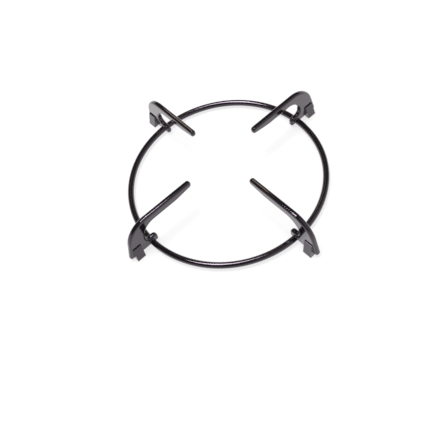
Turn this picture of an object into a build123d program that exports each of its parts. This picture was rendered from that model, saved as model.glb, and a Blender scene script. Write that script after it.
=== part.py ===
import os
from math import cos, radians, sin, tan

from build123d import *

# Pan support of a gas hob: a hoop of round wire carries four plate fingers that point at the burner.
# Sizes are millimetres and degrees. Heights are measured from the hob top, radii from the burner axis.

# Hoop
wire_diameter = 6.0
hoop_radius = 94.0  # to the middle of the wire

# Finger plate
plate_thickness = 5.0
edge_rounding = 2.0  # all round the broad faces
support_height = 40.0  # top edge, where the pan stands
foot_drop = 2.0  # lower edge of the plate above the hob top
tip_reach = 38.3  # inner end of the arm from the burner axis
tip_depth = 6.2
tip_rounding = 2.8
arm_depth = 9.0
taper_end = 57.0  # where the arm reaches its full depth
taper_blend = 30.0
lower_arm_depth = 9.0
stub_length = 4.2  # end of the lower arm inside the hoop
stub_top_rounding = 3.7
stub_bottom_rounding = 2.4
opening_reach = 4.0  # outer wall of the opening past the middle of the wire
opening_bottom_rounding = 4.2
opening_straight = 0.8  # upright stretch of the opening's outer wall between its roundings
foot_reach = 26.4  # outer end of the foot past the middle of the wire
foot_rounding = 2.6
back_lean = 16.5  # of the back from upright
back_rounding = 26.0

# Notch for the wire, open at the lower edge
seat_clearance = 0.05  # leaves room for the curve of the hoop

# Tab pressed out of the plate, on which the support stands
tab_width = 8.9
tab_inset = 4.7  # from the outer end of the foot, at the hob top
tab_lean = 6.5  # of its sides from upright
tab_height = 14.5
tab_step = 1.0  # stand-off from the plate at its top
tab_flare = 4.1  # stand-off from the plate at the hob top
tab_rounding = 0.6

# Azimuth of each finger, and the side its tab is pressed to: 1 clockwise, -1 anticlockwise
fingers = {
    "finger_rear_right": (45.0, 1),
    "finger_rear_left": (135.0, -1),
    "finger_front_left": (225.0, -1),
    "finger_front_right": (315.0, 1),
}

half_plate = plate_thickness / 2
wire_height = foot_drop + wire_diameter / 2  # the wire lies flush with the lower edge
foot_end = hoop_radius + foot_reach
stub_end = hoop_radius - wire_diameter / 2 - stub_length


def plate_plane(azimuth):
    """Upright plane through the burner axis: x runs outwards, y upwards and z to the clockwise side."""
    turn = radians(azimuth)
    return Plane(origin=(0, 0, 0), x_dir=(cos(turn), sin(turn), 0), z_dir=(sin(turn), -cos(turn), 0))


def tab_plane(azimuth, side, radius):
    """Upright plane across a finger at a radius: x runs to the tab's side and y upwards."""
    turn = radians(azimuth)
    out = Vector(cos(turn), sin(turn), 0)
    across = Vector(sin(turn), -cos(turn), 0) * side
    return Plane(origin=out * radius, x_dir=across, z_dir=across.cross(Vector(0, 0, 1)))


def finger_corners():
    """Corners of the finger's outline, each with its rounding, from the tip outwards and back."""
    arm_underside = support_height - arm_depth
    lower_arm_top = foot_drop + lower_arm_depth
    opening_wall = hoop_radius + opening_reach
    opening_top_rounding = arm_underside - lower_arm_top - opening_bottom_rounding - opening_straight
    elbow = foot_end - (support_height - foot_drop) * tan(radians(back_lean))
    return [
        ((tip_reach, support_height), tip_rounding),
        ((elbow, support_height), back_rounding),
        ((foot_end, foot_drop), foot_rounding),
        ((stub_end, foot_drop), stub_bottom_rounding),
        ((stub_end, lower_arm_top), stub_top_rounding),
        ((opening_wall, lower_arm_top), opening_bottom_rounding),
        ((opening_wall, arm_underside), opening_top_rounding),
        ((taper_end, arm_underside), taper_blend),
        ((tip_reach, support_height - tip_depth), tip_rounding),
    ]


def tab_outline():
    """Corners of the tab seen square on to the plate."""
    outer = foot_end - tab_inset
    inner = outer - tab_width
    shift = tab_height * tan(radians(tab_lean))
    return [(inner, 0), (outer, 0), (outer - shift, tab_height), (inner - shift, tab_height)]


def tab_corners():
    """Corners of the tab's section, each with its rounding: stand-off from the middle of the plate, height."""
    return [
        ((tab_step + half_plate, tab_height), tab_rounding),
        ((tab_flare + half_plate, 0), tab_rounding),
        ((tab_flare - half_plate, 0), tab_rounding),
        ((tab_step - half_plate, tab_height), 0),
    ]


os.makedirs("parts", exist_ok=True)

with BuildPart() as ring:
    with Locations((0, 0, wire_height)):
        Torus(hoop_radius, wire_diameter / 2)
ring.part.label = "ring"
export_step(ring.part, "parts/ring.step")

outline, outline_roundings = zip(*finger_corners())
tab_section, tab_roundings = zip(*tab_corners())
tab_middle = foot_end - tab_inset - tab_width / 2
seat_radius = wire_diameter / 2 + seat_clearance

for name, (azimuth, side) in fingers.items():
    plate = plate_plane(azimuth)
    with BuildPart() as finger:
        # Stamped plate with softened edges
        with BuildSketch(plate):
            with BuildLine():
                FilletPolyline(outline, radius=outline_roundings, close=True)
            make_face()
        extrude(amount=half_plate, both=True)
        fillet(finger.faces().filter_by(plate).edges(), edge_rounding)
        # Notch that the wire lies in
        with BuildSketch(plate):
            with Locations((hoop_radius, wire_height)):
                Circle(seat_radius)
                Rectangle(2 * seat_radius, wire_height, align=(Align.CENTER, Align.MAX))
        extrude(amount=half_plate, both=True, mode=Mode.SUBTRACT)
        # Window that the tab is pressed out of
        with BuildSketch(plate) as window:
            with BuildLine():
                Polyline(tab_outline(), close=True)
            make_face()
        extrude(amount=half_plate, both=True, mode=Mode.SUBTRACT)
        # Tab, still held by the part of the plate's thickness above it
        with BuildPart():
            with BuildSketch(tab_plane(azimuth, side, tab_middle)):
                with BuildLine():
                    FilletPolyline(tab_section, radius=tab_roundings, close=True)
                make_face()
            extrude(amount=tab_width, both=True)
            extrude(window.sketch, amount=plate_thickness + tab_flare, both=True, mode=Mode.INTERSECT)
    finger.part.label = name
    export_step(finger.part, f"parts/{name}.step")
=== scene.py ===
import math

import bmesh
import bpy
from mathutils import Matrix, Vector


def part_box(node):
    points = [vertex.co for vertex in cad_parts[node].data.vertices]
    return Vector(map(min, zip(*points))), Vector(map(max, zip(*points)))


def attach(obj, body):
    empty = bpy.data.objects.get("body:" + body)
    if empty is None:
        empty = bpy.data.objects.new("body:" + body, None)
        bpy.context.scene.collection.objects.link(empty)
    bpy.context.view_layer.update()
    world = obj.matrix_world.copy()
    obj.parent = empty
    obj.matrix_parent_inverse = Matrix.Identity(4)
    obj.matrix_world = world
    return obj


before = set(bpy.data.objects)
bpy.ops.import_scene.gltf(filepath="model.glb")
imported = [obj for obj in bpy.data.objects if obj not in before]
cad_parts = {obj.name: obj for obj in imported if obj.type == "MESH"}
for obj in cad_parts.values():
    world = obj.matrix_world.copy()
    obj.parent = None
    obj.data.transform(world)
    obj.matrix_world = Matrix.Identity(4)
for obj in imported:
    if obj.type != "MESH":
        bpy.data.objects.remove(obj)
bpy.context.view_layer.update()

# Photograph: its size and where the camera's axis and the middle of the hoop fall in it, in pixels
image_size = 430
axis_pixel = (229.0, 250.0)
hoop_pixel = (226.4, 177.0)
focal_pixels = 514.8

# Camera, seen from the middle of the hoop
camera_azimuth = 283.71
camera_elevation = 53.28
camera_distance = 0.4978
camera_roll = 13.58
sensor_width = 36.0  # millimetres, as Blender counts it

# Tube lamp overhead, which draws the bright lines along the wire
tube_middle = (-0.206, 0.045, 1.2)
tube_azimuth = 51.4
tube_length = 0.55
tube_width = 0.35
tube_power = 10.5

# Small bulb, which lengthens the streak where the front right finger bends
bulb_middle = (-0.203, 0.314, 1.2)
bulb_diameter = 0.08
bulb_power = 0.84

# Narrow warm lamp at the back, which draws the faint line along the tops of two fingers
glow_ends = ((93.5, 32.3), (111.5, 46.4))  # azimuth and angle from straight up of each end
glow_distance = 1.6
glow_width = 0.05
glow_power = 0.22
glow_colour = (1.0, 0.88, 0.6)

lamp_colour = (1.0, 0.97, 0.97)

# Soft fill from all over the ceiling, which keeps the shadows light
fill_strength = 1.15
fill_spread = 120.0

# Table
table_half_width = 6.0
table_colour = (0.96, 0.96, 0.96, 1.0)
table_glow = 0.75  # share of plain white in what is seen of it, which thins the shadows

# Room that the enamel mirrors: dim, with a pale patch on the right and a pale foot to its walls
room_dim = (0.075, 0.07, 0.072)
room_pale = (0.55, 0.53, 0.54)
pale_azimuth = 345.0
pale_polar = 55.0
pale_reach = 53.0  # from the middle of the patch to where it has faded out
pale_full = 14.0
backdrop_colour = (0.85, 0.83, 0.83)
backdrop_full = 11.0  # elevation up to which the foot of the walls is pale
backdrop_top = 20.0

# Enamel: a black ground with a slight cloud in it, under a glassy coat with a faint orange peel
enamel_dark = (0.0035, 0.0032, 0.0035, 1.0)
enamel_light = (0.0075, 0.0065, 0.007, 1.0)
enamel_tint = (0.9, 0.62, 1.0, 1.0)
enamel_ior = 1.44
enamel_roughness = (0.07, 0.13)
coat_ior = 1.46
coat_roughness = 0.06
cloud_scale = 60.0
cloud_detail = 4.0
peel_scale = 300.0
peel_detail = 1.5
peel_height = 0.000003

# Weld seam between the wire and each face of a finger
finger_azimuths = {"rear_right": 45.0, "rear_left": 135.0, "front_left": 225.0, "front_right": 315.0}
plate_thickness = 0.005
weld_leg = 0.0013
weld_sink = 0.00005  # how far its rims lie under the wire and the plate
weld_reach = (-15.0, 195.0)  # round the wire, from its outer side over its top
weld_fullness = 0.4  # lower for a seam that keeps its full leg nearer to its ends
weld_steps = 40
weld_arc_steps = 6

hoop_low, hoop_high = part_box("ring")
hoop_middle = (hoop_low + hoop_high) / 2
wire_radius = hoop_middle.z - hoop_low.z
hoop_radius = hoop_high.x - wire_radius


def direction(azimuth, polar):
    """Unit vector at an azimuth and an angle from straight up."""
    turn, tilt = math.radians(azimuth), math.radians(polar)
    return Vector((math.cos(turn) * math.sin(tilt), math.sin(turn) * math.sin(tilt), math.cos(tilt)))


def link(obj):
    """Puts an object into the scene."""
    bpy.context.scene.collection.objects.link(obj)
    return obj


def make_camera():
    """Camera at the photograph's viewing angle, turned so that the hoop falls where the photograph has it."""
    data = bpy.data.cameras.new("camera")
    data.sensor_width = sensor_width
    data.lens = focal_pixels / image_size * sensor_width
    data.shift_x = (image_size / 2 - axis_pixel[0]) / image_size
    data.shift_y = (axis_pixel[1] - image_size / 2) / image_size
    back = direction(camera_azimuth, 90 - camera_elevation)
    level_right = Vector((0, 0, 1)).cross(back).normalized()
    level_up = back.cross(level_right)
    roll = math.radians(camera_roll)
    right = level_right * math.cos(roll) - level_up * math.sin(roll)
    up = back.cross(right)
    towards_hoop = Vector((
        (hoop_pixel[0] - axis_pixel[0]) / focal_pixels,
        (axis_pixel[1] - hoop_pixel[1]) / focal_pixels,
        -1.0,
    ))
    aside = Vector((0, 0, -1)).rotation_difference(towards_hoop).to_matrix()
    upright = Matrix((right, up, back)).transposed()
    camera = link(bpy.data.objects.new("camera", data))
    place = Matrix.Translation(hoop_middle + back * camera_distance)
    camera.matrix_world = place @ (upright @ aside.inverted()).to_4x4()
    bpy.context.scene.camera = camera


def make_lamp(name, middle, power):
    """Flat lamp in the given place, which faces the table until it is turned."""
    data = bpy.data.lights.new(name, "AREA")
    data.energy = power
    data.color = lamp_colour
    lamp = link(bpy.data.objects.new(name, data))
    lamp.location = middle
    return lamp


def make_tube():
    """Broad tube lamp overhead."""
    tube = make_lamp("tube", tube_middle, tube_power)
    tube.data.shape = "RECTANGLE"
    tube.data.size = tube_length
    tube.data.size_y = tube_width
    tube.rotation_euler.z = math.radians(tube_azimuth)


def make_bulb():
    """Small round lamp overhead."""
    bulb = make_lamp("bulb", bulb_middle, bulb_power)
    bulb.data.shape = "DISK"
    bulb.data.size = bulb_diameter


def make_glow():
    """Narrow slanting lamp between two directions, turned to the burner axis."""
    high, low = (direction(*end) * glow_distance for end in glow_ends)
    middle = (high + low) / 2
    outwards = middle.normalized()
    along = (high - low).normalized()
    glow = make_lamp("glow", middle, glow_power)
    glow.data.color = glow_colour
    glow.data.shape = "RECTANGLE"
    glow.data.size = (high - low).length
    glow.data.size_y = glow_width
    glow.rotation_euler = Matrix((along, outwards.cross(along), outwards)).transposed().to_euler()


def make_fill():
    """Wide soft light from above, which the enamel doesn't mirror."""
    data = bpy.data.lights.new("fill", "SUN")
    data.energy = fill_strength
    data.angle = math.radians(fill_spread)
    fill = link(bpy.data.objects.new("fill", data))
    fill.visible_glossy = False


def mix_by(nodes, links, value, start, end, first, second):
    """Colour that goes smoothly from the first to the second as the value goes from start to end.

    Each of the two is a colour or a socket that gives one.
    """
    share = nodes.new("ShaderNodeMapRange")
    share.interpolation_type = "SMOOTHSTEP"
    share.inputs["From Min"].default_value = start
    share.inputs["From Max"].default_value = end
    links.new(value, share.inputs["Value"])
    mix = nodes.new("ShaderNodeMix")
    mix.data_type = "RGBA"
    links.new(share.outputs["Result"], mix.inputs["Factor"])
    for socket, colour in ((mix.inputs["A"], first), (mix.inputs["B"], second)):
        if isinstance(colour, tuple):
            socket.default_value = (*colour, 1.0)
        else:
            links.new(colour, socket)
    return mix.outputs["Result"]


def make_world():
    """Room that shades from a dim side to a pale side, with a pale foot to its walls."""
    world = bpy.data.worlds.new("room")
    bpy.context.scene.world = world
    world.use_nodes = True
    nodes, links = world.node_tree.nodes, world.node_tree.links
    place = nodes.new("ShaderNodeTexCoord")
    side = nodes.new("ShaderNodeVectorMath")
    side.operation = "DOT_PRODUCT"
    side.inputs[1].default_value = direction(pale_azimuth, pale_polar)
    links.new(place.outputs["Generated"], side.inputs[0])
    faded, full = math.cos(math.radians(pale_reach)), math.cos(math.radians(pale_full))
    walls = mix_by(nodes, links, side.outputs["Value"], faded, full, room_dim, room_pale)
    height = nodes.new("ShaderNodeSeparateXYZ")
    links.new(place.outputs["Generated"], height.inputs["Vector"])
    low, high = math.sin(math.radians(backdrop_full)), math.sin(math.radians(backdrop_top))
    room = mix_by(nodes, links, height.outputs["Z"], low, high, backdrop_colour, walls)
    links.new(room, nodes["Background"].inputs["Color"])


def new_material(name):
    """Material with its nodes, its links and its main shader."""
    material = bpy.data.materials.new(name)
    material.use_nodes = True
    nodes = material.node_tree.nodes
    return material, nodes, material.node_tree.links, nodes["Principled BSDF"]


def make_table_white():
    """Matt white, lifted towards plain white where the camera or a mirroring surface sees it."""
    material, nodes, links, shader = new_material("table_white")
    shader.inputs["Base Color"].default_value = table_colour
    shader.inputs["Roughness"].default_value = 1.0
    shader.inputs["Specular IOR Level"].default_value = 0.0
    path = nodes.new("ShaderNodeLightPath")
    seen = path.outputs["Is Camera Ray"]
    for name in ("Is Glossy Ray", "Is Transmission Ray"):
        either = nodes.new("ShaderNodeMath")
        either.operation = "MAXIMUM"
        links.new(seen, either.inputs[0])
        links.new(path.outputs[name], either.inputs[1])
        seen = either.outputs["Value"]
    share = nodes.new("ShaderNodeMath")
    share.operation = "MULTIPLY"
    share.inputs[1].default_value = table_glow
    links.new(seen, share.inputs[0])
    white = nodes.new("ShaderNodeEmission")
    mix = nodes.new("ShaderNodeMixShader")
    links.new(share.outputs["Value"], mix.inputs["Fac"])
    links.new(shader.outputs["BSDF"], mix.inputs[1])
    links.new(white.outputs["Emission"], mix.inputs[2])
    links.new(mix.outputs["Shader"], nodes["Material Output"].inputs["Surface"])
    return material


def make_table():
    """Table top at the level that the tabs stand on."""
    mesh = bpy.data.meshes.new("table")
    w = table_half_width
    mesh.from_pydata([(-w, -w, 0), (w, -w, 0), (w, w, 0), (-w, w, 0)], [], [(0, 1, 2, 3)])
    table = link(bpy.data.objects.new("table", mesh))
    mesh.materials.append(make_table_white())


def make_noise(nodes, links, place, scale, detail):
    """Noise fixed to the object, as a socket that gives its value."""
    noise = nodes.new("ShaderNodeTexNoise")
    noise.inputs["Scale"].default_value = scale
    noise.inputs["Detail"].default_value = detail
    links.new(place.outputs["Object"], noise.inputs["Vector"])
    return noise.outputs["Fac"]


def make_enamel():
    """Gloss black vitreous enamel."""
    material, nodes, links, shader = new_material("enamel")
    shader.inputs["IOR"].default_value = enamel_ior
    shader.inputs["Specular Tint"].default_value = enamel_tint
    shader.inputs["Coat Weight"].default_value = 1.0
    shader.inputs["Coat Roughness"].default_value = coat_roughness
    shader.inputs["Coat IOR"].default_value = coat_ior
    place = nodes.new("ShaderNodeTexCoord")
    cloud = make_noise(nodes, links, place, cloud_scale, cloud_detail)
    colour = nodes.new("ShaderNodeMix")
    colour.data_type = "RGBA"
    colour.inputs["A"].default_value = enamel_dark
    colour.inputs["B"].default_value = enamel_light
    links.new(cloud, colour.inputs["Factor"])
    links.new(colour.outputs["Result"], shader.inputs["Base Color"])
    rough = nodes.new("ShaderNodeMapRange")
    rough.inputs["To Min"].default_value, rough.inputs["To Max"].default_value = enamel_roughness
    links.new(cloud, rough.inputs["Value"])
    links.new(rough.outputs["Result"], shader.inputs["Roughness"])
    bump = nodes.new("ShaderNodeBump")
    bump.inputs["Strength"].default_value = 1.0
    bump.inputs["Distance"].default_value = peel_height
    links.new(make_noise(nodes, links, place, peel_scale, peel_detail), bump.inputs["Height"])
    for name in ("Normal", "Coat Normal"):
        links.new(bump.outputs["Normal"], shader.inputs[name])
    return material


def weld_profile(leg):
    """Section of a seam: a hollow arc and its hidden corner.

    Each point is its distance from the middle of the wire and from the middle of the plate.
    """
    wire, plate = wire_radius - weld_sink, plate_thickness / 2 - weld_sink
    tilts = [math.pi / 2 * step / weld_arc_steps for step in range(weld_arc_steps + 1)]
    arc = [(wire + leg * (1 - math.sin(tilt)), plate + leg * (1 - math.cos(tilt))) for tilt in tilts]
    return arc + [(wire - weld_sink, plate - weld_sink)]


def weld_seam(azimuth, side):
    """Points and faces of one seam, which thins out to nothing at both ends.

    Side is 1 for the clockwise face of the finger and -1 for the other.
    """
    points = []
    for step in range(weld_steps + 1):
        share = step / weld_steps
        turn = math.radians(weld_reach[0] + (weld_reach[1] - weld_reach[0]) * share)
        leg = weld_leg * math.sin(math.pi * share) ** weld_fullness
        for out, off in weld_profile(leg):
            radius = hoop_radius + out * math.cos(turn)
            sweep = math.radians(azimuth) - side * math.asin(off / radius)
            height = hoop_middle.z + out * math.sin(turn)
            points.append((radius * math.cos(sweep), radius * math.sin(sweep), height))
    count = weld_arc_steps + 2
    faces = [tuple(range(count)), tuple(range(weld_steps * count, len(points)))]
    for step in range(weld_steps):
        for k in range(count):
            here, there = step * count + k, step * count + (k + 1) % count
            faces.append((here, there, there + count, here + count))
    return points, faces


def make_welds(material):
    """One piece for each finger, with a seam on both of its faces."""
    for name, azimuth in finger_azimuths.items():
        mesh = bpy.data.meshes.new("weld_" + name)
        points, faces = [], []
        for side in (1, -1):
            seam_points, seam_faces = weld_seam(azimuth, side)
            faces += [tuple(k + len(points) for k in face) for face in seam_faces]
            points += seam_points
        mesh.from_pydata(points, [], faces)
        shape = bmesh.new()
        shape.from_mesh(mesh)
        bmesh.ops.recalc_face_normals(shape, faces=shape.faces)
        shape.to_mesh(mesh)
        shape.free()
        mesh.shade_smooth()
        mesh.materials.append(material)
        weld = link(bpy.data.objects.new("weld_" + name, mesh))
        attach(weld, "root")


def dress_nodes(material):
    """Gives every CAD node the material."""
    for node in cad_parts.values():
        node.data.materials.clear()
        node.data.materials.append(material)


make_camera()
make_world()
make_table()
make_tube()
make_bulb()
make_glow()
make_fill()
enamel = make_enamel()
dress_nodes(enamel)
make_welds(enamel)
bpy.context.scene.view_settings.view_transform = "Standard"
